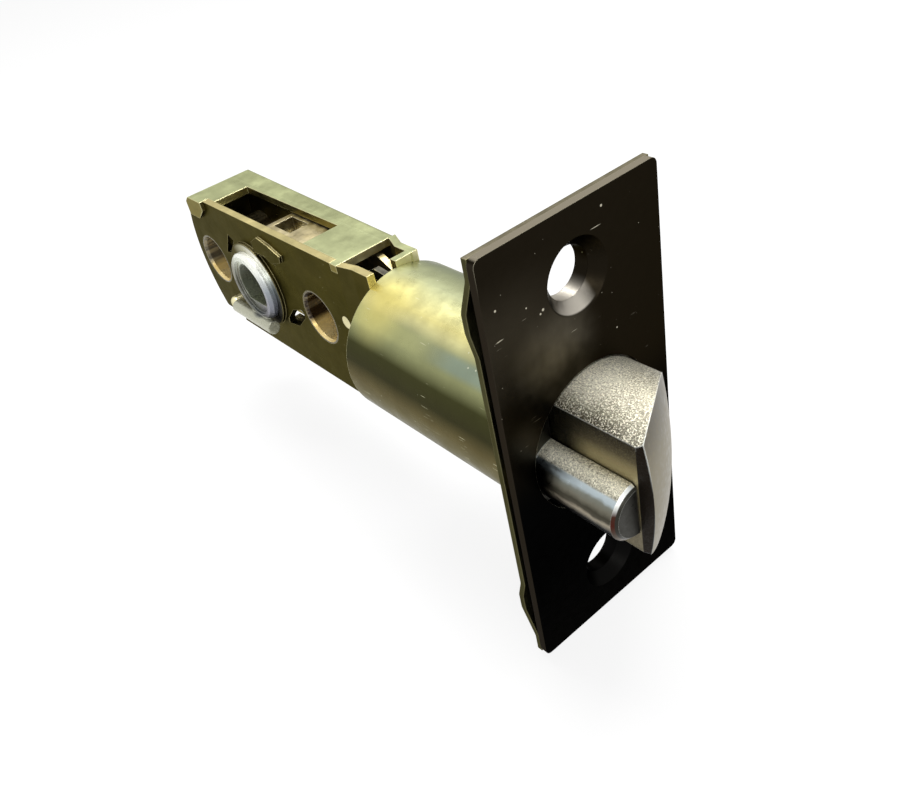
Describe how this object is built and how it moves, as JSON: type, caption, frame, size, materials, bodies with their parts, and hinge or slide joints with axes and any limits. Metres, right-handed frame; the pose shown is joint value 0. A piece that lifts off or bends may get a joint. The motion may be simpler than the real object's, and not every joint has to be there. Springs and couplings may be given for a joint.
{
  "type": "tubular door latch",
  "caption": "Tubular deadlatch: dark faceplate with a bevelled bolt and half-round plunger, plated round housing, and a flat case with a turning hub and hollow rivets.",
  "frame": {"origin": "centre of the faceplate's outer face, midway between its screw holes", "axes": "+X out of the door's edge, the way the bolt points; +Z along the faceplate, up on a door; +Y across the door's thickness, the way the bolt's bevel faces"},
  "size_m": [0.1042, 0.0254, 0.0572],
  "materials": {
    "dark_bronze": "satin dark bronze",
    "yellow_zinc": "yellow chromate on zinc",
    "clear_zinc": "clear zinc",
    "bare_zinc": "cast, dull",
    "spring_steel": "bright"
  },
  "bodies": {
    "case": {"faceplate": "dark_bronze", "back_plate": "yellow_zinc", "housing_tube": "yellow_zinc", "case_channel": "yellow_zinc", "side_plate": "yellow_zinc", "front_eyelet": "yellow_zinc", "rear_eyelet": "yellow_zinc", "stop_pin": "yellow_zinc", "spring_seat": "clear_zinc", "bolt_spring": "spring_steel", "plunger_spring": "spring_steel", "deadlock_lever": "clear_zinc", "lever_pin": "yellow_zinc"},
    "hub": {"hub": "clear_zinc"},
    "retractor": {"retractor": "clear_zinc"},
    "bolt": {"latchbolt": "bare_zinc", "bolt_tail": "clear_zinc", "bolt_pin": "clear_zinc"},
    "plunger": {"plunger": "bare_zinc", "plunger_tail": "clear_zinc"}
  },
  "joints": [
    {"name": "hub_turn", "type": "hinge", "parent": "case", "child": "hub", "pos_m": [-0.06985, 0, 0], "axis": [0, -1, 0], "range_deg": [0, 75]},
    {"name": "retractor_slide", "type": "slide", "parent": "case", "child": "retractor", "axis": [-1, 0, 0], "range_m": [0, 0.0126]},
    {"name": "latchbolt_slide", "type": "slide", "parent": "case", "child": "bolt", "axis": [-1, 0, 0], "range_m": [0, 0.0126], "stiffness_N_per_m": 400, "springref_m": -0.015, "deforming": ["bolt_spring"]},
    {"name": "plunger_slide", "type": "slide", "parent": "case", "child": "plunger", "axis": [-1, 0, 0], "range_m": [0, 0.01], "stiffness_N_per_m": 150, "springref_m": -0.012, "deforming": ["plunger_spring"]}
  ],
  "couplings": [
    {"joint": "retractor_slide", "follows": "latchbolt_slide", "ratio": 1},
    {"joint": "hub_turn", "follows": "latchbolt_slide", "rad_per_m": 103.88}
  ]
}
